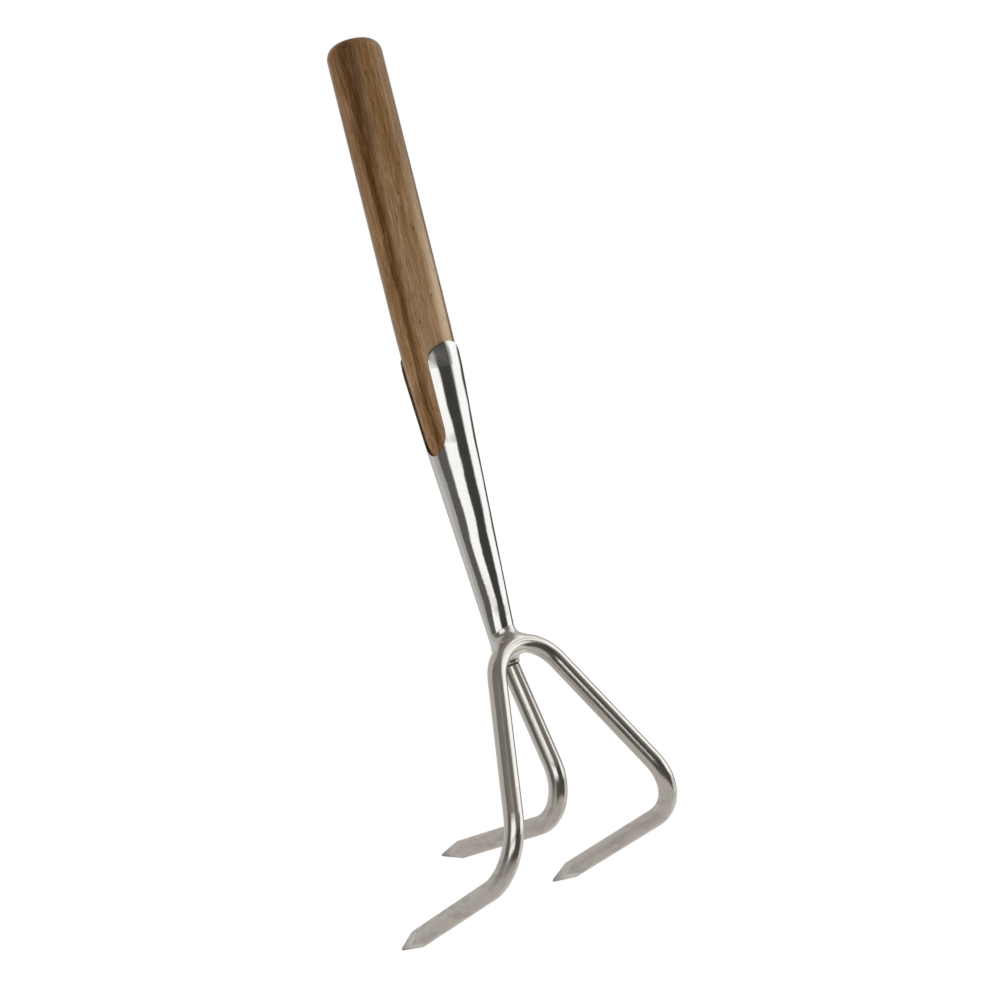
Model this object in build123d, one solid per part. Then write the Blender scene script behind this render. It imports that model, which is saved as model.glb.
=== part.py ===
from build123d import *
import os
from math import cos, radians, sin

# Three-tine hand cultivator. Millimetres and degrees.
# Heights are measured from the yoke, the point on the handle's axis where the centre tine
# leaves it. +Z runs up the handle, the tines lie in front (-Y) and to the sides (+X, -X).

# Driving dimensions
rod_radius = 5.0            # round bar of all three tines
grip_radius = 15.0          # parallel part of the ash handle
sheet = 1.2                 # thickness of the socket's steel
grip_start = 172.0          # the handle is parallel from here up
handle_top = 330.0

# Outer tines: both arms aim at one point on the handle's axis
arms_meet = 33.8            # height of that point
arm_spread = 24.3           # each arm outwards from the middle
arm_lean = 17.8             # both arms backwards
arm_length = 157.2          # from that point to the corner of the elbow
arch_radius = 24.8
outer_elbow_radius = 28.8
outer_claw_length = 120.2   # from the corner of the elbow to the tip
outer_claw_drop = 20.0      # below horizontal
outer_toe_in = 3.0

# Centre tine
tang_top = 24.0             # end of the bar inside the neck
tang_bend_radius = 24.0
centre_lean = 14.0
centre_arm_length = 95.0
centre_elbow_radius = 26.6
centre_claw_length = 113.7
centre_claw_drop = 8.8

# Ground points: four flats that meet the axis at a blunt end
point_slope = 0.185
point_blunt = 0.5
point_length = 25.0
outer_point_turn = 30.0     # of the four flats about the bar
centre_point_turn = 45.0

# Socket: a cone whose lower end is set back a little, and two straps
neck_height = 8.0
neck_radius = 7.4
neck_set_back = 2.2
cone_height = 110.0         # from here up the cone is in line with the handle
cone_radius = 13.45
mouth_height = 150.0
mouth_radius = 15.85
strap_round = 151.5         # each strap's end is rounded from here up
strap_top = 162.8
strap_curve_steps = 6       # points on each half of that round
bore_top = 30.0             # the neck is closed round the tang below this
wood_bottom = 52.0
slot_bottom = 105.8
slot_round = 13.0           # height of the slot's rounded bottom
strap_half_angle = 48.4
grip_rounding = 8.0

# Welds, as ellipses: height, distance back from the axis, half width, half depth
socket_weld_rings = [
    (11.0, 2.1, 7.6, 7.6),
    (6.0, 3.0, 8.0, 7.8),
    (2.0, 4.6, 9.4, 8.0),
    (-1.5, 6.2, 11.0, 8.0),
]
tine_weld_rings = [
    (-1.5, 6.2, 6.6, 6.6),
    (-6.0, 5.9, 5.4, 5.0),
    (-11.0, 5.2, 4.8, 4.2),
]

# Screw in the front strap
screw_height = 128.0
screw_head_radius = 3.8
screw_head_height = 1.6
screw_radius = 2.0
screw_depth = 20.0
screw_slot = (1.0, 0.8)     # width and depth
screw_sunk = 0.6            # how far the head sits into the strap
screw_head_rounding = 1.28


def direction(side, sideways, tilt, forward):
    """Unit vector going down by tilt from horizontal, sideways by an angle, forward or back."""
    across = side * sin(radians(sideways)) * cos(radians(tilt))
    along = forward * cos(radians(sideways)) * cos(radians(tilt))
    return Vector(across, along, -sin(radians(tilt)))


def arm_direction(side):
    spread, lean = radians(arm_spread), radians(arm_lean)
    return Vector(side * sin(spread), cos(spread) * sin(lean), -cos(spread) * cos(lean))


def point_shape(turn):
    """A bar's end with four ground flats, its tip at the origin and the bar along -Z."""
    back = point_blunt + point_slope * point_length
    wide = Plane.XY.offset(-point_length) * Rectangle(2 * back, 2 * back, rotation=turn)
    tip = Plane.XY * Rectangle(2 * point_blunt, 2 * point_blunt, rotation=turn)
    bar = Pos(0, 0, -point_length) * Cylinder(
        rod_radius, point_length, align=(Align.CENTER, Align.CENTER, Align.MIN)
    )
    return loft([wide, tip], ruled=True) & bar


def bent_bar(corners, radii, sharp_ends, point_turn):
    """Round bar along a path with rounded corners; the listed ends get a ground point."""
    points = [Vector(*corner) for corner in corners]
    tips = []
    for end, inner in sharp_ends:
        along = (points[end] - points[inner]).normalized()
        tips.append(Plane(points[end], x_dir=Vector(1, 0, 0), z_dir=along))
        points[end] = points[end] - along * point_length
    path = FilletPolyline(*points, radius=radii)
    bar = sweep(Plane(path @ 0, z_dir=path % 0) * Circle(rod_radius), path)
    for tip in tips:
        bar = bar + tip * point_shape(point_turn)
    return bar


def outer_tines():
    meet = Vector(0, 0, arms_meet)
    elbows = [meet + arm_direction(side) * arm_length for side in (-1, 1)]
    tips = []
    for side, elbow in zip((-1, 1), elbows):
        claw = direction(-side, outer_toe_in, outer_claw_drop, -1)
        tips.append(elbow + claw * outer_claw_length)
    corners = [tips[0], elbows[0], meet, elbows[1], tips[1]]
    radii = [outer_elbow_radius, arch_radius, outer_elbow_radius]
    return bent_bar(corners, radii, [(0, 1), (4, 3)], outer_point_turn)


def centre_tine():
    yoke = Vector(0, 0, 0)
    elbow = yoke + direction(0, 0, 90 - centre_lean, 1) * centre_arm_length
    tip = elbow + direction(0, 0, centre_claw_drop, -1) * centre_claw_length
    corners = [Vector(0, 0, tang_top), yoke, elbow, tip]
    radii = [tang_bend_radius, centre_elbow_radius]
    return bent_bar(corners, radii, [(3, 2)], centre_point_turn)


def section(height, inset):
    """The socket's round section at a height, made smaller all round by inset."""
    rings = [
        (neck_height, neck_radius, neck_set_back),
        (cone_height, cone_radius, 0.0),
        (mouth_height, mouth_radius, 0.0),
        (grip_start, grip_radius + sheet, 0.0),
    ]
    for (low, radius_low, back_low), (high, radius_high, back_high) in zip(rings, rings[1:]):
        if height <= high:
            break
    part_way = (height - low) / (high - low)
    radius = radius_low + part_way * (radius_high - radius_low) - inset
    back = back_low + part_way * (back_high - back_low)
    return Plane.XY.offset(height) * Pos(0, back) * Circle(radius)


def cone(heights, inset):
    return loft([section(height, inset) for height in heights], ruled=True)


def surface_radius(height):
    """The socket's outer radius between the top of its cone and the mouth."""
    part_way = (height - cone_height) / (mouth_height - cone_height)
    return cone_radius + part_way * (mouth_radius - cone_radius)


def slots():
    """Cutter for the two slots between the straps, through both sides, with round bottoms."""
    narrowing = cos(radians(strap_half_angle))
    low, high = slot_bottom + slot_round, strap_top + sheet
    half_low = surface_radius(low) * narrowing
    half_high = surface_radius(high) * narrowing
    corners = [(half_low, low), (half_high, high), (-half_high, high), (-half_low, low)]
    outline = make_face(Polyline(*corners, close=True)) + Pos(0, low) * Ellipse(half_low, slot_round)
    return extrude(Plane.YZ * outline, 2 * grip_radius, both=True)


def strap_ends():
    """What is trimmed off so that each strap ends in a round, an ellipse on the flat sheet."""
    rise = strap_top - strap_round
    radius = surface_radius(strap_round)
    points = []
    for step in range(-strap_curve_steps, strap_curve_steps + 1):
        turn = radians(90 * step / strap_curve_steps)
        angle = radians(strap_half_angle) * sin(turn)
        points.append((radius * sin(angle), strap_round + rise * cos(turn)))
    outline = Spline(*points, tangents=[(0, 1), (0, -1)]) + Line(points[-1], points[0])
    round_end = Plane.XZ * make_face(outline)
    wide = 4 * grip_radius
    block = Pos(0, 0, strap_round + rise) * Box(wide, wide, 2 * rise)
    return block - extrude(round_end, wide / 2, both=True)


def screw():
    under_head = surface_radius(screw_height) - screw_sunk
    seat = Plane((0, -under_head, screw_height), z_dir=(0, -1, 0))
    shank = Pos(0, 0, -screw_depth) * Cylinder(
        screw_radius, screw_depth, align=(Align.CENTER, Align.CENTER, Align.MIN)
    )
    head = Cylinder(
        screw_head_radius, screw_head_height, align=(Align.CENTER, Align.CENTER, Align.MIN)
    )
    head = fillet(head.edges().group_by(Axis.Z)[-1], screw_head_rounding)
    width, depth = screw_slot
    across = 2 * screw_head_radius + sheet
    slot = Pos(0, 0, screw_head_height) * Box(across, width, 2 * depth)
    return seat * (head + shank - slot), seat * (head + shank)


def socket(outer_bar, screw_hole):
    shell = cone([neck_height, cone_height, mouth_height, grip_start], 0)
    hollow = cone([bore_top, cone_height, mouth_height, grip_start], sheet)
    tang_bore = Cylinder(rod_radius, bore_top, align=(Align.CENTER, Align.CENTER, Align.MIN))
    return shell - hollow - tang_bore - slots() - strap_ends() - outer_bar - screw_hole


def handle(screw_hole):
    taper = cone([wood_bottom, cone_height, mouth_height, grip_start], sheet)
    parallel = Pos(0, 0, grip_start) * Cylinder(
        grip_radius, handle_top - grip_start, align=(Align.CENTER, Align.CENTER, Align.MIN)
    )
    parallel = fillet(parallel.edges().group_by(Axis.Z)[-1], grip_rounding)
    return taper + parallel - screw_hole


def weld(rings, neighbours):
    """Weld metal through a stack of ellipses, less the pieces that it joins."""
    sections = []
    for height, back, half_width, half_depth in rings:
        sections.append(Plane.XY.offset(height) * Pos(0, back) * Ellipse(half_width, half_depth))
    return loft(sections, ruled=True) - neighbours


outer = outer_tines()
centre = centre_tine()
screw_part, screw_space = screw()
socket_part = socket(outer, screw_space)
handle_part = handle(screw_space)
nodes = {
    "outer_tines": outer,
    "centre_tine": centre - outer,
    "socket": socket_part,
    "handle": handle_part,
    "strap_screw": screw_part,
    "socket_weld": weld(socket_weld_rings, outer + centre + socket_part),
    "tine_weld": weld(tine_weld_rings, outer + centre),
}

# The part's origin is the lower end of the parallel grip, on its axis.
os.makedirs("parts", exist_ok=True)
for name, shape in nodes.items():
    export_step(Pos(0, 0, -grip_start) * shape, f"parts/{name}.step")
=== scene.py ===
from math import cos, pi, radians, sin, tan

import bpy
import numpy as np
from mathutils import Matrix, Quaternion, Vector


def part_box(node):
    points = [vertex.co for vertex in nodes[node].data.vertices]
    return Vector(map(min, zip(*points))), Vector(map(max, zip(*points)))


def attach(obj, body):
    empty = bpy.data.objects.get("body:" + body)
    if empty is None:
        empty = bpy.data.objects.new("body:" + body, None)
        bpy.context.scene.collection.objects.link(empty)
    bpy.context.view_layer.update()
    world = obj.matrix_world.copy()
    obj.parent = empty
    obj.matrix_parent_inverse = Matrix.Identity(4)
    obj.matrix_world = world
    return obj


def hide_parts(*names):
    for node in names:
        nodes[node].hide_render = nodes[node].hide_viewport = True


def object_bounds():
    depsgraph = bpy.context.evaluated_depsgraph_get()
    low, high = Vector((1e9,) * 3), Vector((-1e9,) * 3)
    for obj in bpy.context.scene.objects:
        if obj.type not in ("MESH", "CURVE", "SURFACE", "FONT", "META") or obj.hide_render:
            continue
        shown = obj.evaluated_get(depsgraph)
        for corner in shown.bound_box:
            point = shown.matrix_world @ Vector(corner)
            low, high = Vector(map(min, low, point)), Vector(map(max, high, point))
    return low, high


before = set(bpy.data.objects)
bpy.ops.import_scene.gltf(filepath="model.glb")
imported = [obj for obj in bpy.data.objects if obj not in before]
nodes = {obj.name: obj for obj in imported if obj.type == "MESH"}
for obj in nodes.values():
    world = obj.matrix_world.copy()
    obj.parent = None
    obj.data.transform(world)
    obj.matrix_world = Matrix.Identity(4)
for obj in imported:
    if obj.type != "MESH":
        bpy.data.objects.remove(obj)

# A hand cultivator: an ash grip in a polished steel socket, over three satin steel tines.
# Lengths are in metres. The origin is the lower end of the parallel grip, on its axis.
# +Z runs up the handle, and the claws point along -Y.

cad_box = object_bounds()

# Camera, with angles in degrees. Azimuth 0 looks along +Y, and 90 looks along -X.
view_azimuth = 136.158
view_elevation = -0.871
view_roll = 14.005
view_distance = 0.9512
view_target = Vector((-0.01288, 0.01237, -0.09651))
lens = 64.8

# The studio, as seen from the tool by someone who faces the camera: soft-edged cards on an
# endless sphere. Each is (azimuth from, azimuth to, elevation from, elevation to, edge
# softness, brightness), with azimuths measured like the camera's.
studio_base = 0.50
studio_cards = [
    (110, 330, 52, 95, 8, 0.22),      # dim ceiling on the left
    (28, 66, 28, 78, 7, 0.53),        # raised reflector on the right
    (60, 150, 44, 84, 8, 0.19),       # dark end of the ceiling beside it
    (296, 350, 8, 40, 8, 0.62),       # pale wall behind
    (296, 352, -9, 9, 8, 0.40),       # and its dimmer foot
    (345, 392, -16, 10, 8, 0.60),     # low wall that the claws point at
    (32, 56, -16, 10, 6, 0.46),       # and its dimmer end
    (60, 112, -20, 46, 5, 0.12),      # dark curtain on the right
    (228, 330, -62, -14, 9, 0.72),    # bright paper on the floor, on the left and behind
    (108, 160, -15, 44, 4, 1.24),     # softbox round the camera
    (104, 164, 6, 11, 3, 0.12),       # the gap between its two halves
    (106, 162, 43, 66, 14, 0.17),     # and its dim top
    (218, 268, -12, 48, 4, 1.24),     # softbox on the left
    (206, 227, 8, 17, 3, 0.20),       # a dark stand that hides part of its edge
    (224, 250, 28, 38, 3, 0.60),      # a dimmer patch on it
    (273, 300, -12, 13, 4, 0.07),     # and its dark frame
    (163, 216, 8, 62, 6, 0.18),       # black flag between the softboxes
    (158, 214, -17, 10, 4, 0.055),    # and the blacker cloth under it
    (106, 226, -44, -12, 4, 0.075),   # black table edge
]
studio_warmth = (1.0, 0.93, 0.845)
warm_brightness = (1.0, 0.3)    # light is white above the first brightness, warm below the second
warm_elevation = (6.0, 18.0)    # and it warms up between these, above and below level
level_warmth = 0.35             # the share of that warmth at level
diffuse_level = 1.4             # how many times brighter the studio is to a matt surface
floor_reach = 6.0
floor_gap = 0.002               # between the floor and the lowest tine

# Steel
bright_steel = (0.80, 0.785, 0.765)
bar_steel = (0.80, 0.772, 0.725)
weld_steel = (0.76, 0.73, 0.69)
# dark steel: painted shade on the socket's cut edges, under the weld's lip and in the screw's
# groove, and the darkening of the ground points
dark_and_shade_steel = (0.16, 0.15, 0.14, 1)
worn_steel_light = (0.80, 0.775, 0.745, 1)
worn_steel_dark = (0.66, 0.635, 0.605, 1)
edge_from = -0.070              # the socket's edges are sheared and rough, and painted dark as shade, from here up
edge_blend = 0.002
edge_facing = (0.8, 0.5)        # and they face away from the radius, by this much of its cosine
claw_slant = radians(60)        # the claws are dull beyond a plane that slopes like this
claw_start = 0.2143             # and lies this far down and forward from the origin
claw_blend = 0.003
claw_drops = {"outer_tines": radians(20.0), "centre_tine": radians(8.8)}    # below level
point_length = 0.025            # of the ground points, along Y from each tip
point_edge = 0.001
flat_facing = (0.08, 0.13)      # the ground flats face along the claw by more than this
dark_share = 0.6                # of a point's length over which it darkens
satin_reach = (0.014, 0.008)    # the weld turns satin between these from the arch's crown
screw_slot_width = 0.001
screw_slot_depth = 0.0008
screw_ring_pitch = 0.00022      # of the turning marks on its head

# Ash
ash_light = (0.42, 0.232, 0.098, 1)
ash_brown = (0.31, 0.158, 0.056, 1)
ash_pale = (0.60, 0.385, 0.21, 1)
ash_dark = (0.19, 0.088, 0.026, 1)
ash_heart = (0.078, 0.032, 0.005, 1)
# pale tan painted as the highlight on the lower grip
ash_highlight_paint = (0.78, 0.58, 0.37, 1)
ash_pore = (0.07, 0.032, 0.010, 1)
pith = (0.030, -0.022)          # centre of the growth rings, beside the handle
ring_spacing = 0.0034
grain_wander = 0.005
grain_twist = 1.2               # turn of the grain round the handle, in radians per metre
heart_azimuth = 110.0           # of the dark streak at the bottom of the grip
heart_depth = (0.005, 0.0115)   # its strength grows from 0 to full between these from the axis
lower_grip = (0.13, -0.01)      # going down between these, the painted highlight appears and the streak narrows
upper_grip = (0.05, 0.13)       # and going up between these, the wood turns duller

# The bars and the cone where they meet at the yoke, repeated from the part
yoke_height = -0.172
rod_radius = 0.005
arms_meet = yoke_height + 0.0338
arm_spread = radians(24.3)
arm_lean = radians(17.8)
arch_radius = 0.0248
tine_lean = radians(14.0)
tine_bend = 0.024
arch_crown = (0, 0.0108, yoke_height + 0.003)   # inside the bar, where the arch is highest
neck_height = yoke_height + 0.008
neck_radius = 0.0074
neck_set_back = 0.0022
cone_height = yoke_height + 0.110
cone_radius = 0.01345

# Weld metal. Heights are above the yoke.
neck_end = -0.0075              # the cone carries on to here inside the weld
neck_rounding = 0.004
collar_blend = 0.0035           # how widely the neck flows into the arch
collar_flare = 0.0035           # and how much more widely it does so further up
collar_rise = (-0.006, 0.002)   # the heights between which that is added
foot_blend = 0.0025             # how widely it all flows into the centre tine
foot_length = 0.0108            # down the centre tine, where the weld ends in a small lip
foot_lip = 0.0004               # how far the lip stands proud of the bar
foot_shift = 0.0004             # and how far back it is set
crevice_shade_width = 0.0009          # of the line of painted shade under the lip
crevice_shade_sides = (0.002, 0.001)  # it fades out between these beside the bar
weld_sink = 0.0006              # the weld hides this deep under the bars where it adds nothing
weld_shown = (0.00002, 0.00012)     # how far it stands proud where it starts to show
weld_reach = (0.026, 0.017, 0.020)  # half size of the box that holds the weld
weld_middle = (0, 0.005, yoke_height + 0.002)
weld_cell = 0.0004              # of the grid that its mesh is made on
settle_rounds = 4
settle_least_slope = 0.25       # a smaller squared slope counts as this, so no point jumps away


class Graph:
    """Adds linked nodes to one node tree."""

    def __init__(self, tree):
        self.tree = tree
        tree.nodes.clear()

    def add(self, kind, *values, **settings):
        """A node of a kind, its inputs given in order as numbers, colours or other outputs."""
        node = self.tree.nodes.new(kind)
        for name, setting in settings.items():
            setattr(node, name, setting)
        for socket, value in zip([s for s in node.inputs if s.enabled], values):
            self.join(value, socket)
        return node

    def join(self, value, socket):
        """Link an output to a socket, or set the socket to a value."""
        if value is None:
            return
        if isinstance(value, bpy.types.NodeSocket):
            self.tree.links.new(value, socket)
        else:
            socket.default_value = value

    def math(self, operation, *values):
        return self.add("ShaderNodeMath", *values, operation=operation).outputs[0]

    def vector(self, operation, *values):
        return self.add("ShaderNodeVectorMath", *values, operation=operation).outputs[0]

    def stretched(self, vector, amounts):
        return self.vector("MULTIPLY", vector, amounts)

    def length(self, vector):
        return self.add("ShaderNodeVectorMath", vector, operation="LENGTH").outputs["Value"]

    def dot(self, one, other):
        node = self.add("ShaderNodeVectorMath", one, other, operation="DOT_PRODUCT")
        return node.outputs["Value"]

    def split(self, vector):
        """The x, y and z of a vector."""
        return self.add("ShaderNodeSeparateXYZ", vector).outputs

    def place(self):
        """Where the surface is, in the shared frame."""
        return self.add("ShaderNodeTexCoord").outputs["Object"]

    def mix(self, factor, low, high):
        """Blend of two colours."""
        node = self.add("ShaderNodeMix", data_type="RGBA")
        sockets = {s.identifier: s for s in node.inputs}
        self.join(factor, sockets["Factor_Float"])
        self.join(low, sockets["A_Color"])
        self.join(high, sockets["B_Color"])
        return next(s for s in node.outputs if s.identifier == "Result_Color")

    def blend(self, factor, low, high):
        """Blend of two numbers."""
        node = self.add("ShaderNodeMix", data_type="FLOAT")
        sockets = {s.identifier: s for s in node.inputs}
        self.join(factor, sockets["Factor_Float"])
        self.join(low, sockets["A_Float"])
        self.join(high, sockets["B_Float"])
        return next(s for s in node.outputs if s.identifier == "Result_Float")

    def smooth(self, value, start, end):
        """0 below start, 1 above end, with a smooth step between."""
        node = self.add("ShaderNodeMapRange", interpolation_type="SMOOTHSTEP")
        self.join(value, node.inputs["Value"])
        self.join(start, node.inputs["From Min"])
        self.join(end, node.inputs["From Max"])
        return node.outputs["Result"]

    def noise(self, vector, scale, detail=3.0, roughness=0.5):
        node = self.add("ShaderNodeTexNoise")
        self.join(vector, node.inputs["Vector"])
        node.inputs["Scale"].default_value = scale
        node.inputs["Detail"].default_value = detail
        node.inputs["Roughness"].default_value = roughness
        return node.outputs["Fac"]


def in_range(graph, angle, start, end, soft, whole_turn=False):
    """1 where an angle lies between two others, in degrees, with soft ends."""
    off = graph.math("SUBTRACT", angle, (start + end) / 2)
    if whole_turn:
        off = graph.math("WRAP", off, 180.0, -180.0)
    half = (end - start) / 2
    return graph.smooth(graph.math("ABSOLUTE", off), half + soft, half - soft)


def make_world():
    """Soft studio seen in the steel and lighting the wood; the camera itself sees plain white."""
    world = bpy.data.worlds.new("studio")
    world.use_nodes = True
    bpy.context.scene.world = world
    graph = Graph(world.node_tree)
    x, y, z = graph.split(graph.add("ShaderNodeTexCoord").outputs["Generated"])
    azimuth = graph.math("DEGREES", graph.math("ARCTAN2", x, graph.math("MULTIPLY", y, -1.0)))
    elevation = graph.math("DEGREES", graph.math("ARCSINE", z))
    light = studio_base
    for az_from, az_to, el_from, el_to, soft, brightness in studio_cards:
        beside = in_range(graph, azimuth, az_from, az_to, soft, whole_turn=True)
        level = in_range(graph, elevation, el_from, el_to, soft)
        light = graph.blend(graph.math("MULTIPLY", beside, level), light, brightness)
    warm = graph.smooth(graph.math("ABSOLUTE", elevation), *warm_elevation)
    warm = graph.blend(warm, level_warmth, 1.0)
    warm = graph.math("MULTIPLY", warm, graph.smooth(light, *warm_brightness))
    tint = graph.mix(warm, (1, 1, 1, 1), (*studio_warmth, 1))
    paths = graph.add("ShaderNodeLightPath").outputs
    strength = graph.blend(paths["Is Diffuse Ray"], 1.0, diffuse_level)
    strength = graph.math("MULTIPLY", light, strength)
    studio = graph.add("ShaderNodeBackground", tint, strength).outputs[0]
    white = graph.add("ShaderNodeBackground", (1, 1, 1, 1), 1.0).outputs[0]
    mixed = graph.add("ShaderNodeMixShader", paths["Is Camera Ray"], studio, white)
    graph.add("ShaderNodeOutputWorld", mixed.outputs[0])


def make_camera():
    azimuth = radians(view_azimuth)
    elevation = radians(view_elevation)
    level = cos(elevation)
    outward = Vector((level * sin(azimuth), -level * cos(azimuth), sin(elevation)))
    data = bpy.data.cameras.new("camera")
    data.lens = lens
    data.clip_start = 0.01
    camera = bpy.data.objects.new("camera", data)
    camera.rotation_mode = "QUATERNION"
    roll = Quaternion((0, 0, 1), radians(-view_roll))
    camera.rotation_quaternion = (-outward).to_track_quat("-Z", "Y") @ roll
    camera.location = view_target + outward * view_distance
    bpy.context.scene.collection.objects.link(camera)
    bpy.context.scene.camera = camera


def new_material(name):
    material = bpy.data.materials.new(name)
    material.use_nodes = True
    return material, Graph(material.node_tree)


def make_floor():
    """A plain white floor just under the tines, which the steel and the wood don't see."""
    low = cad_box[0][2] - floor_gap
    signs = [(-1, -1), (1, -1), (1, 1), (-1, 1)]
    corners = [(across * floor_reach, along * floor_reach, low) for across, along in signs]
    mesh = bpy.data.meshes.new("floor")
    mesh.from_pydata(corners, [], [(0, 1, 2, 3)])
    floor = bpy.data.objects.new("floor", mesh)
    bpy.context.scene.collection.objects.link(floor)
    material, graph = new_material("floor_white")
    glow = graph.add("ShaderNodeEmission", (1, 1, 1, 1), 1.0)
    graph.add("ShaderNodeOutputMaterial", glow.outputs[0])
    mesh.materials.append(material)
    floor.visible_glossy = False
    floor.visible_diffuse = False
    floor.visible_shadow = False


def bumped(graph, height, distance, strength, beneath=None):
    """Normal of a surface with relief, over another normal if one is given."""
    bump = graph.add("ShaderNodeBump")
    bump.inputs["Strength"].default_value = strength
    bump.inputs["Distance"].default_value = distance
    graph.join(height, bump.inputs["Height"])
    graph.join(beneath, bump.inputs["Normal"])
    return bump.outputs[0]


def finish_steel(graph, color, rough, normal):
    """The shader and output that every steel shares."""
    shader = graph.add("ShaderNodeBsdfPrincipled")
    shader.inputs["Metallic"].default_value = 1.0
    graph.join(color, shader.inputs["Base Color"])
    graph.join(rough, shader.inputs["Roughness"])
    graph.join(normal, shader.inputs["Normal"])
    graph.add("ShaderNodeOutputMaterial", shader.outputs[0])


def polished_sheet():
    """The socket: mirror-polished sheet, a little wavy, with faint grinding lines, and rough cut
    edges painted dark as shade.
    """
    material, graph = new_material("polished_steel")
    place = graph.place()
    z = graph.split(place)[2]
    clouds = graph.noise(place, 90.0, 4.0, 0.6)
    lines = graph.noise(graph.stretched(place, (1, 1, 0.06)), 1600.0, 3.0, 0.7)
    radial = graph.vector("NORMALIZE", graph.stretched(place, (1, 1, 0)))
    normal = graph.add("ShaderNodeNewGeometry").outputs["Normal"]
    facing = graph.math("ABSOLUTE", graph.dot(radial, normal))
    cut = graph.smooth(facing, *edge_facing)
    cut = graph.math("MULTIPLY", cut, graph.smooth(z, edge_from - edge_blend, edge_from))

    darker = [0.93 * channel for channel in bright_steel]
    color = graph.mix(clouds, (*bright_steel, 1), (*darker, 1))
    # painted shade: the cut edges darkened
    color = graph.mix(cut, color, dark_and_shade_steel)
    rough = graph.blend(graph.smooth(clouds, 0.35, 0.7), 0.08, 0.13)
    rough = graph.math("MULTIPLY_ADD", lines, 0.03, rough)
    rough = graph.blend(cut, rough, 0.5)
    waves = bumped(graph, graph.noise(place, 42.0, 0.5, 0.4), 0.0021, 1.0)
    finish_steel(graph, color, rough, bumped(graph, lines, 0.0002, 0.05, waves))
    return material


def claw_wear(graph, y, z):
    """1 on the claws and 0 above them, on the two sides of a sloping plane."""
    beyond = graph.math("MULTIPLY", y, -cos(claw_slant))
    beyond = graph.math("MULTIPLY_ADD", z, -sin(claw_slant), beyond)
    return graph.smooth(beyond, claw_start - claw_blend, claw_start + claw_blend)


def ground_flats(graph, normal, y, tip, claw_drop):
    """1 on the ground flats, which face a little forward along the claw."""
    forward = (0, -cos(claw_drop), -sin(claw_drop))
    flats = graph.smooth(graph.dot(normal, forward), *flat_facing)
    back = tip + point_length
    return graph.math("MULTIPLY", flats, graph.smooth(y, back, back - point_edge))


def dark_point_and_shade(graph, normal, y, tip):
    """How dark a ground point is: more so towards its tip, with painted shade where it faces down.
    """
    upward = graph.split(normal)[2]
    # painted shade: the flats that face down are darker
    strength = graph.blend(graph.smooth(upward, 0.2, -0.4), 0.55, 0.85)
    near_tip = graph.smooth(y, tip + dark_share * point_length, tip)
    return graph.math("MULTIPLY", near_tip, strength)


def crevice_shade_line(graph, x, y, z):
    """1 in a thin line of painted shade across the centre tine, just under the weld's lip."""
    down = graph.math("MULTIPLY", graph.math("SUBTRACT", z, yoke_height), -cos(tine_lean))
    down = graph.math("MULTIPLY_ADD", y, sin(tine_lean), down)
    off = graph.math("SUBTRACT", down, foot_length + crevice_shade_width / 2)
    line = graph.smooth(graph.math("ABSOLUTE", off), crevice_shade_width, crevice_shade_width / 3)
    outer, inner = (rod_radius + side for side in crevice_shade_sides)
    beside = graph.smooth(graph.math("ABSOLUTE", x), outer, inner)
    return graph.math("MULTIPLY", line, beside)


def tine_bar(name):
    """A node of the tines: satin bar, dull and mottled on its claw, with a dark end that has painted
    shade on its lower flats, and a line of painted shade under the weld's lip.
    """
    material, graph = new_material(name + "_steel")
    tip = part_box(name)[0][1]
    place = graph.place()
    x, y, z = graph.split(place)
    normal = graph.add("ShaderNodeNewGeometry").outputs["True Normal"]
    clouds = graph.noise(place, 120.0, 4.0, 0.6)
    mottle = graph.noise(graph.stretched(place, (1, 0.3, 0.7)), 330.0, 3.0, 0.6)
    patches = graph.noise(graph.stretched(place, (1, 0.25, 0.6)), 150.0, 2.0, 0.5)
    lines = graph.noise(graph.stretched(place, (0.15, 1, 0.15)), 2500.0, 2.0, 0.6)
    worn = claw_wear(graph, y, z)
    ground = ground_flats(graph, normal, y, tip, claw_drops[name])
    crevice_shade = crevice_shade_line(graph, x, y, z)

    darker = [0.92 * channel for channel in bar_steel]
    color = graph.mix(clouds, (*bar_steel, 1), (*darker, 1))
    dull = graph.mix(graph.smooth(mottle, 0.35, 0.65), worn_steel_light, worn_steel_dark)
    dull = graph.mix(graph.smooth(patches, 0.55, 0.35), dull, worn_steel_light)
    color = graph.mix(graph.math("MULTIPLY", worn, 0.85), color, dull)
    color = graph.mix(ground, color, graph.mix(lines, worn_steel_light, worn_steel_dark))
    # the points darken towards their tips, with painted shade on their lower flats
    color = graph.mix(dark_point_and_shade(graph, normal, y, tip), color, dark_and_shade_steel)
    # painted shade in the crevice under the weld's lip
    color = graph.mix(crevice_shade, color, dark_and_shade_steel)

    rough = graph.blend(graph.smooth(clouds, 0.35, 0.7), 0.17, 0.22)
    rough = graph.blend(worn, rough, graph.math("MULTIPLY_ADD", mottle, 0.35, 0.24))
    rough = graph.blend(ground, rough, 0.28)
    rough = graph.blend(crevice_shade, rough, 0.6)

    soft = bumped(graph, clouds, 0.00012, 0.5)
    pits = graph.math("MULTIPLY", mottle, worn)
    pits = graph.blend(ground, pits, graph.math("MULTIPLY", lines, 0.2))
    finish_steel(graph, color, rough, bumped(graph, pits, 0.0002, 0.4, soft))
    return material


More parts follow.
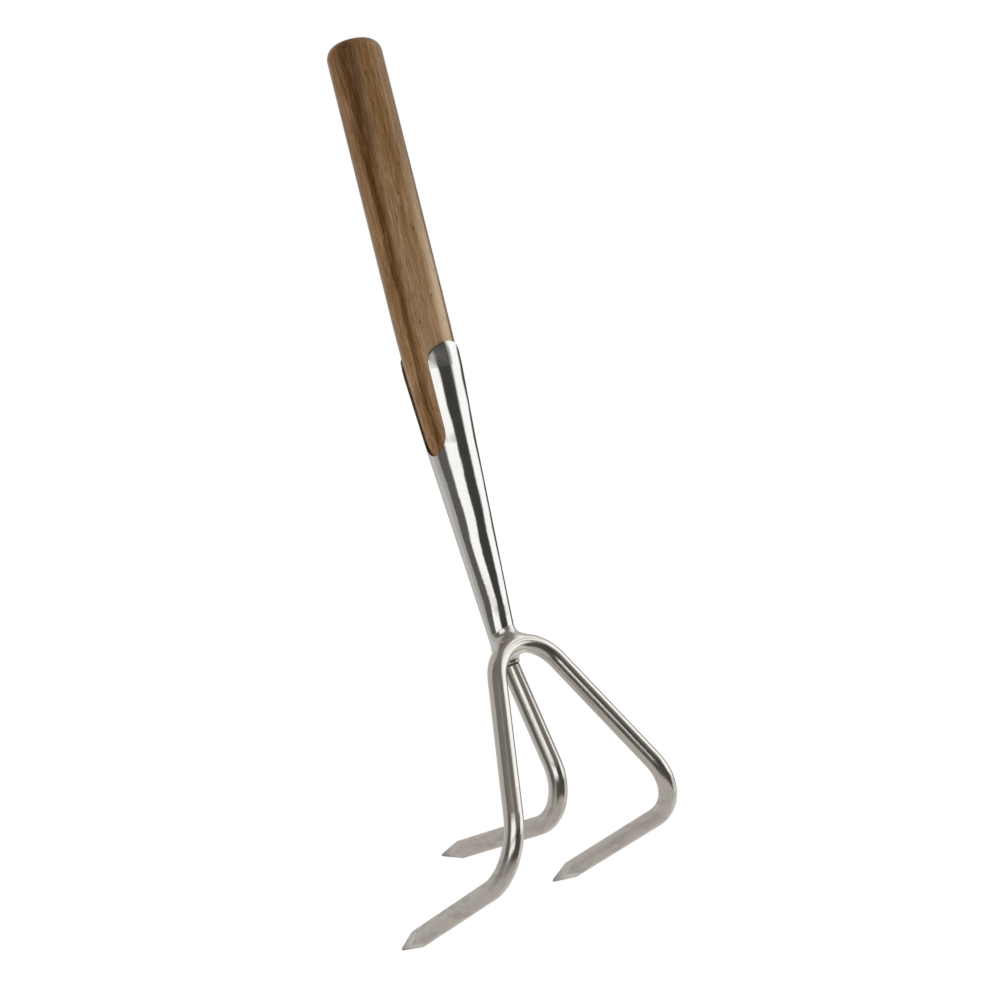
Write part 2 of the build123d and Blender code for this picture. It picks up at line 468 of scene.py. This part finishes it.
def screw_steel():
    """The screw: turned steel with fine rings round its head, and painted shade down in the groove
    across it.
    """
    material, graph = new_material("screw_steel")
    place = graph.place()
    x, y, _ = graph.split(place)
    low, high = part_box("strap_screw")
    middle = (0, 0, (low[2] + high[2]) / 2)
    away = graph.length(graph.stretched(graph.vector("SUBTRACT", place, middle), (1, 0, 1)))
    rings = graph.math("SINE", graph.math("MULTIPLY", away, 2 * pi / screw_ring_pitch))
    clouds = graph.noise(place, 500.0, 4.0, 0.6)
    beside = graph.math("ABSOLUTE", x)
    # painted shade on the floor and walls of the screw's groove
    slot_shade = graph.smooth(beside, 0.7 * screw_slot_width, 0.5 * screw_slot_width)
    slot_shade = graph.math("MULTIPLY", slot_shade, graph.smooth(y, low[1], low[1] + screw_slot_depth / 2))

    darker = [0.8 * channel for channel in bright_steel]
    color = graph.mix(clouds, (*bright_steel, 1), (*darker, 1))
    color = graph.mix(slot_shade, color, dark_and_shade_steel)
    rough = graph.math("MULTIPLY_ADD", clouds, 0.14, 0.16)
    finish_steel(graph, color, rough, bumped(graph, rings, 0.00001, 0.5))
    return material


def weld_metal():
    """Weld metal ground smooth: satin, a little darker than the bars, polished where it runs out."""
    material, graph = new_material("weld_steel")
    place = graph.place()
    away = graph.length(graph.vector("SUBTRACT", place, arch_crown))
    satin = graph.smooth(away, *satin_reach)
    brushed = graph.noise(graph.stretched(place, (0.4, 1, 1)), 700.0, 4.0, 0.7)
    clouds = graph.noise(place, 260.0, 4.0, 0.6)
    rough = graph.blend(satin, 0.15, graph.math("MULTIPLY_ADD", brushed, 0.12, 0.19))
    clouded = graph.math("MULTIPLY", satin, clouds)
    color = graph.mix(clouded, (*bright_steel, 1), (*weld_steel, 1))
    finish_steel(graph, color, rough, bumped(graph, brushed, 0.00015, 0.12))
    return material


def grain_place(graph, place, z):
    """The wood's own coordinates, which twist round the handle and wander a little."""
    turn = graph.add("ShaderNodeVectorRotate", rotation_type="Z_AXIS")
    graph.join(place, turn.inputs["Vector"])
    graph.join(graph.math("MULTIPLY", z, -grain_twist), turn.inputs["Angle"])
    turned = turn.outputs[0]
    wander = graph.add("ShaderNodeTexNoise")
    graph.join(graph.stretched(turned, (1, 1, 0.3)), wander.inputs["Vector"])
    wander.inputs["Scale"].default_value = 60.0
    wander.inputs["Detail"].default_value = 4.0
    shift = graph.vector("SUBTRACT", wander.outputs["Color"], (0.5, 0.5, 0.5))
    shift = graph.stretched(shift, (grain_wander, grain_wander, 0))
    return graph.vector("ADD", turned, shift)


def porous_rings(graph, grain):
    """1 in the porous part of each growth ring."""
    across = graph.vector("SUBTRACT", graph.stretched(grain, (1, 1, 0)), (*pith, 0))
    ring = graph.math("FRACT", graph.math("DIVIDE", graph.length(across), ring_spacing))
    return graph.math("MULTIPLY", graph.smooth(ring, 0.0, 0.3), graph.smooth(ring, 0.8, 0.35))


def streaked_ash(graph, grain, porous, bands, fibres):
    """Colour of plain ash, with pale and dark streaks along its bands and fibres."""
    patches = graph.noise(graph.stretched(grain, (1, 1, 0.12)), 75.0, 2.0)
    color = graph.mix(graph.smooth(patches, 0.35, 0.65), ash_light, ash_brown)
    color = graph.mix(graph.math("MULTIPLY", porous, 0.45), color, ash_brown)
    streaks = [
        (graph.smooth(bands, 0.50, 0.68), 0.65, ash_pale),
        (graph.smooth(bands, 0.46, 0.32), 0.60, ash_dark),
        (graph.smooth(fibres, 0.49, 0.64), 0.60, ash_pale),
        (graph.smooth(fibres, 0.49, 0.36), 0.55, ash_dark),
    ]
    for streak, strength, tone in streaks:
        color = graph.mix(graph.math("MULTIPLY", streak, strength), color, tone)
    return color


def past_heart(graph, grain, bands, fibres):
    """Angle round the handle from the heart streak's ragged middle, in radians."""
    x, y, _ = graph.split(grain)
    azimuth = graph.math("ARCTAN2", x, graph.math("MULTIPLY", y, -1.0))
    ragged = graph.math("MULTIPLY_ADD", bands, 0.30, radians(heart_azimuth) - 0.15)
    ragged = graph.math("MULTIPLY_ADD", fibres, 0.16, graph.math("SUBTRACT", ragged, 0.08))
    return graph.math("WRAP", graph.math("SUBTRACT", azimuth, ragged), pi, -pi)


def painted_highlight(graph, off, low):
    """Strength of a pale band painted as the highlight beside the heart streak, with a fainter
    painted brightening round it, on the lower part of the grip.
    """
    outer = graph.math("MULTIPLY", graph.smooth(off, 0.95, 1.35), graph.smooth(off, 1.80, 1.50))
    inner = graph.math("MULTIPLY", graph.smooth(off, 0.1, 0.5), graph.smooth(off, 1.7, 1.5))
    highlight_share = graph.math("MULTIPLY_ADD", outer, 0.8, graph.math("MULTIPLY", inner, 0.25))
    return graph.math("MULTIPLY", highlight_share, low)


def heartwood(graph, off, low, place, z, fibres):
    """Strength of the dark heart streak: wider towards the top, and gone near the axis."""
    width = graph.math("MULTIPLY_ADD", graph.smooth(z, 0.05, 0.15), 0.30, 0.22)
    heart = graph.smooth(graph.math("DIVIDE", off, width), 1.3, 0.0)
    left = graph.blend(low, -0.60, -0.18)
    left_side = graph.smooth(off, left, graph.math("MULTIPLY", left, 0.25))
    heart = graph.math("MULTIPLY", heart, left_side)
    heart = graph.math("MULTIPLY", heart, graph.math("MULTIPLY_ADD", fibres, -1.6, 1.7))
    heart = graph.math("MULTIPLY", heart, graph.blend(low, 1.0, 0.70))
    radius = graph.length(graph.stretched(place, (1, 1, 0)))
    return graph.math("MULTIPLY", heart, graph.smooth(radius, *heart_depth))


def ash():
    """Oiled ash: growth rings cut into long streaks, fine fibres, pores and a dark heart streak,
    with a painted highlight low on the grip and painted shade towards its top.
    """
    material, graph = new_material("ash")
    place = graph.place()
    z = graph.split(place)[2]
    grain = grain_place(graph, place, z)
    porous = porous_rings(graph, grain)
    bands = graph.noise(graph.stretched(grain, (1, 1, 0.06)), 300.0, 4.0, 0.6)
    fibres = graph.noise(graph.stretched(grain, (1, 1, 0.06)), 1150.0, 4.0, 0.7)
    flecks = graph.noise(graph.stretched(grain, (1, 1, 0.12)), 1500.0, 2.0, 0.6)
    pores = graph.smooth(flecks, 0.60, 0.68)
    pores = graph.math("MULTIPLY", pores, graph.math("MULTIPLY_ADD", porous, 0.5, 0.3))
    off = past_heart(graph, grain, bands, fibres)
    low = graph.smooth(z, *lower_grip)
    high = graph.smooth(z, *upper_grip)

    color = streaked_ash(graph, grain, porous, bands, fibres)
    # painted highlight and painted brightening on the lower grip, beside the heart streak
    color = graph.mix(painted_highlight(graph, off, low), color, ash_highlight_paint)
    color = graph.mix(heartwood(graph, off, low, place, z, fibres), color, ash_heart)
    # painted shade: the wood darkens towards the top of the grip
    painted_top_shade = graph.math("MULTIPLY", graph.smooth(z, 0.02, 0.14), 0.30)
    color = graph.mix(painted_top_shade, color, ash_dark)
    color = graph.mix(pores, color, ash_pore)

    rough = graph.blend(high, graph.blend(fibres, 0.20, 0.34), graph.blend(fibres, 0.42, 0.58))
    relief = graph.math("SUBTRACT", graph.math("MULTIPLY", fibres, 0.6), pores)
    shader = graph.add("ShaderNodeBsdfPrincipled")
    shader.inputs["IOR"].default_value = 1.2
    shader.inputs["Coat Weight"].default_value = 1.0
    shader.inputs["Coat IOR"].default_value = 1.18
    shader.inputs["Coat Roughness"].default_value = 0.2
    graph.join(color, shader.inputs["Base Color"])
    graph.join(rough, shader.inputs["Roughness"])
    graph.join(bumped(graph, relief, 0.0003, 0.35), shader.inputs["Normal"])
    graph.add("ShaderNodeOutputMaterial", shader.outputs[0])
    return material


def dress(name, material):
    """Give a CAD node its material."""
    mesh = nodes[name].data
    mesh.materials.clear()
    mesh.materials.append(material)


def smooth_union(one, other, blend):
    """Union of two distances with a rounded crease."""
    near = np.maximum(blend - np.abs(one - other), 0) / blend
    return np.minimum(one, other) - near * near * blend / 4


def arch_distance(place):
    """Distance from the outer tines' bar, near its arch."""
    x, y, z = place
    reach = arch_radius / sin(arm_spread)
    y = y - reach * sin(arm_lean)
    z = z - arms_meet + reach * cos(arm_lean)
    rise = z * cos(arm_lean) - y * sin(arm_lean)
    aside = y * cos(arm_lean) + z * sin(arm_lean)
    turn = np.clip(np.arctan2(np.abs(x), rise), 0, pi / 2 - arm_spread)
    off = np.abs(x) * np.sin(turn) + rise * np.cos(turn) - arch_radius
    return np.hypot(off, aside) - rod_radius


def ramp(value, limits):
    """0 below the first limit, 1 above the second, with a smooth step between."""
    start, end = limits
    part_way = np.clip((value - start) / (end - start), 0, 1)
    return part_way * part_way * (3 - 2 * part_way)


def tine_distance(place, shift=0.0, lip=0.0):
    """Distance from the centre tine's bar, or from a sleeve on it: set back, and proud by a lip."""
    x, y, z = place
    y = y - tine_bend
    z = z - yoke_height - tine_bend * tan(tine_lean / 2)
    turn = np.clip(np.arctan2(-z, -y), 0, tine_lean)
    off = tine_bend + y * np.cos(turn) + z * np.sin(turn)
    return np.hypot(x, off - shift) - rod_radius - lip


def neck_distance(place):
    """Distance from the socket's cone, carried on downwards."""
    x, y, z = place
    part_way = (z - neck_height) / (cone_height - neck_height)
    radius = neck_radius + part_way * (cone_radius - neck_radius)
    return np.hypot(x, y - neck_set_back * (1 - part_way)) - radius


def weld_distance(place):
    """Distance from the weld's skin, which dives under the bars where it adds nothing."""
    _, y, z = place
    height = z - yoke_height
    arch = arch_distance(place)
    cone = neck_distance(place)
    bare = np.minimum(arch, tine_distance(place))
    bare = np.minimum(bare, np.maximum(cone, neck_height - z))
    neck = -smooth_union(-cone, height - neck_end, neck_rounding)
    down_tine = y * sin(tine_lean) - height * cos(tine_lean)
    sleeve = tine_distance(place, foot_shift, foot_lip)
    sleeve = np.maximum(sleeve, np.maximum(down_tine - foot_length, -down_tine))
    weld = smooth_union(neck, arch, collar_blend + collar_flare * ramp(height, collar_rise))
    weld = smooth_union(weld, sleeve, foot_blend)
    weld = weld + weld_sink * (1 - ramp(bare - weld, weld_shown))
    for axis in range(3):
        weld = np.maximum(weld, np.abs(place[axis] - weld_middle[axis]) - weld_reach[axis])
    return weld


def surface_net(distance, middle, reach, cell):
    """Closed quad mesh where a distance is 0: one point in each cell that the surface crosses."""
    lines = []
    for centre, side in zip(middle, reach):
        count = int(2 * side / cell) + 4
        lines.append(centre + cell * (np.arange(count) - (count - 1) / 2))
    values = distance(np.stack(np.meshgrid(*lines, indexing="ij")))
    solid = values < 0
    cells = [len(line) - 1 for line in lines]
    total = np.zeros(cells + [3])
    crossings = np.zeros(cells)
    numbers = np.arange(crossings.size).reshape(crossings.shape)
    quads = []
    for axis in range(3):
        level = np.moveaxis(values, axis, 0)
        inside = np.moveaxis(solid, axis, 0)
        crossed = inside[:-1] != inside[1:]
        drop = level[:-1] - level[1:]
        part_way = np.where(crossed, level[:-1] / np.where(crossed, drop, 1), 0)

        # Each crossing is added to the four cells round its edge of the grid.
        sums = np.moveaxis(total, axis, 0)
        counts = np.moveaxis(crossings, axis, 0)
        others = [other for other in range(3) if other != axis]
        rows, columns = crossed.shape[1] - 1, crossed.shape[2] - 1
        for one in (0, 1):
            for two in (0, 1):
                part = np.s_[:, one:one + rows, two:two + columns]
                point = np.zeros(crossed[part].shape + (3,))
                point[..., axis] = part_way[part]
                point[..., others[0]] = one
                point[..., others[1]] = two
                sums += np.where(crossed[part][..., None], point, 0)
                counts += crossed[part]

        # Those four cells make one quad, turned so that it faces outwards.
        ids = np.moveaxis(numbers, axis, 0)
        edges = crossed[:, 1:-1, 1:-1]
        ring = [ids[:, :-1, :-1], ids[:, 1:, :-1], ids[:, 1:, 1:], ids[:, :-1, 1:]]
        quad = np.stack([corner[edges] for corner in ring], axis=1)
        outward = inside[:-1, 1:-1, 1:-1][edges] ^ (axis == 1)
        quads.append(np.where(outward[:, None], quad, quad[:, ::-1]))

    used, quads = np.unique(np.concatenate(quads), return_inverse=True)
    corners = np.stack(np.unravel_index(used, crossings.shape), axis=1)
    shares = total.reshape(-1, 3)[used] / crossings.reshape(-1)[used][:, None]
    starts = np.array([line[0] for line in lines])
    return starts + cell * (corners + shares), quads.reshape(-1, 4)


def settle(points, distance, step):
    """Move points along the distance's slope until they lie where it is 0."""
    for _ in range(settle_rounds):
        slope = np.zeros_like(points)
        for axis in range(3):
            shift = np.zeros(3)
            shift[axis] = step
            rise = distance((points + shift).T) - distance((points - shift).T)
            slope[:, axis] = rise / (2 * step)
        steep = np.maximum((slope ** 2).sum(axis=1), settle_least_slope)
        points = points - slope * (distance(points.T) / steep)[:, None]
    return points


def make_weld():
    """One smooth skin of weld metal that flows from the neck into the arch and the centre tine."""
    points, quads = surface_net(weld_distance, weld_middle, weld_reach, weld_cell)
    points = settle(points, weld_distance, weld_cell / 20)
    mesh = bpy.data.meshes.new("weld_metal")
    mesh.from_pydata(points.tolist(), [], quads.tolist())
    weld = bpy.data.objects.new("weld_metal", mesh)
    bpy.context.scene.collection.objects.link(weld)
    mesh.shade_smooth()
    mesh.materials.append(weld_metal())
    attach(weld, "root")
    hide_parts("socket_weld", "tine_weld")


make_world()
make_camera()
make_floor()

dress("socket", polished_sheet())
for name in ("outer_tines", "centre_tine"):
    dress(name, tine_bar(name))
dress("strap_screw", screw_steel())
dress("handle", ash())
make_weld()

bpy.context.scene.view_settings.view_transform = "Standard"
